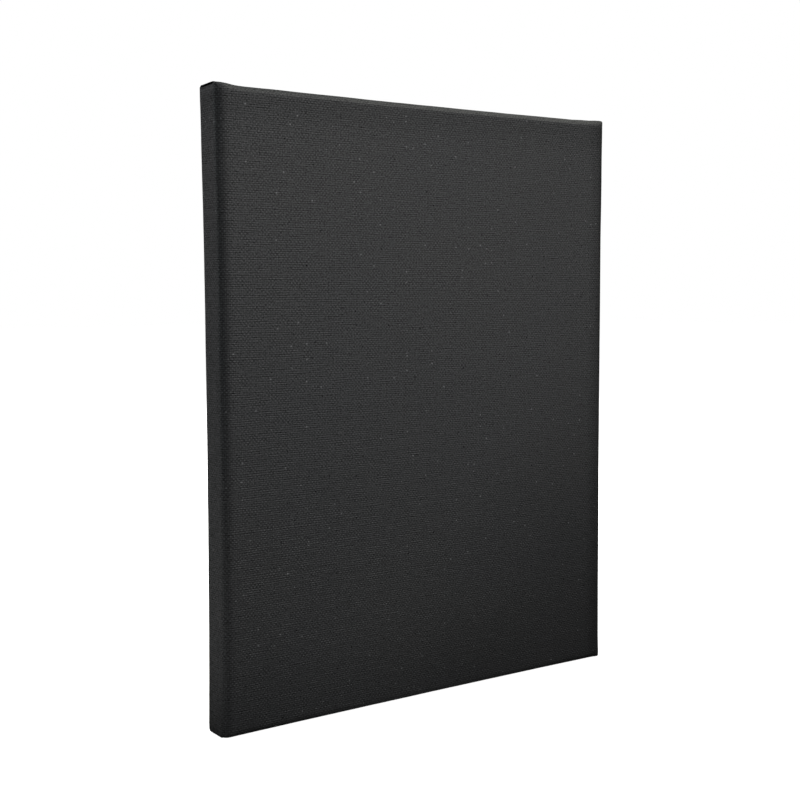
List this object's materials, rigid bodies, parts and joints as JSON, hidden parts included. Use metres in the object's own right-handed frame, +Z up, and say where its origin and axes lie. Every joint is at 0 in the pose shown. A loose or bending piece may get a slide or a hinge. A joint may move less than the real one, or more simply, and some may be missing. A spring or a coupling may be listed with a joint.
{
  "type": "stretched canvas",
  "caption": "Portrait artist's canvas: black primed cotton cloth wrapped and stapled over a mitred pine stretcher frame with loose wedge keys that slide out of the corner slots.",
  "frame": {"origin": "middle of the lower edge, in the middle of the depth, at the height of the lowest cloth fold", "axes": "+X to the right across the painted face as its viewer sees it, -Y out of the painted face, +Y out of the back, +Z up the picture"},
  "size_m": [0.2032, 0.0154, 0.254],
  "materials": {
    "primed_cloth": "matte black primed cotton, plain weave",
    "bar_wood": "planed unvarnished pine",
    "key_wood": "sawn unvarnished wood",
    "staple_steel": "galvanised wire"
  },
  "bodies": {
    "stretched_frame": {"canvas_cloth": "primed_cloth", "stretcher_bar_bottom": "bar_wood", "stretcher_bar_right": "bar_wood", "stretcher_bar_top": "bar_wood", "stretcher_bar_left": "bar_wood", "staples_bottom": "staple_steel", "staples_right": "staple_steel", "staples_top": "staple_steel", "staples_left": "staple_steel", "corner_staple_top_left": "staple_steel", "corner_staple_top_right": "staple_steel", "corner_staple_bottom_left": "staple_steel", "corner_staple_bottom_right": "staple_steel"},
    "key_bottom_right_upright": {"key_bottom_right_upright": "key_wood"},
    "key_bottom_left_upright": {"key_bottom_left_upright": "key_wood"},
    "key_top_right_level": {"key_top_right_level": "key_wood"},
    "key_bottom_right_level": {"key_bottom_right_level": "key_wood"},
    "key_top_left_upright": {"key_top_left_upright": "key_wood"},
    "key_top_right_upright": {"key_top_right_upright": "key_wood"},
    "key_bottom_left_level": {"key_bottom_left_level": "key_wood"},
    "key_top_left_level": {"key_top_left_level": "key_wood"}
  },
  "joints": [
    {"name": "key_bottom_right_upright_slide", "type": "slide", "parent": "stretched_frame", "child": "key_bottom_right_upright", "axis": [0, 0, 1], "range_m": [0, 0.02]},
    {"name": "key_bottom_left_upright_slide", "type": "slide", "parent": "stretched_frame", "child": "key_bottom_left_upright", "axis": [0, 0, 1], "range_m": [0, 0.02]},
    {"name": "key_top_right_level_slide", "type": "slide", "parent": "stretched_frame", "child": "key_top_right_level", "axis": [-1, 0, 0], "range_m": [0, 0.02]},
    {"name": "key_bottom_right_level_slide", "type": "slide", "parent": "stretched_frame", "child": "key_bottom_right_level", "axis": [-1, 0, 0], "range_m": [0, 0.02]},
    {"name": "key_top_left_upright_slide", "type": "slide", "parent": "stretched_frame", "child": "key_top_left_upright", "axis": [0, 0, -1], "range_m": [0, 0.02]},
    {"name": "key_top_right_upright_slide", "type": "slide", "parent": "stretched_frame", "child": "key_top_right_upright", "axis": [0, 0, -1], "range_m": [0, 0.02]},
    {"name": "key_bottom_left_level_slide", "type": "slide", "parent": "stretched_frame", "child": "key_bottom_left_level", "axis": [1, 0, 0], "range_m": [0, 0.02]},
    {"name": "key_top_left_level_slide", "type": "slide", "parent": "stretched_frame", "child": "key_top_left_level", "axis": [1, 0, 0], "range_m": [0, 0.02]}
  ]
}
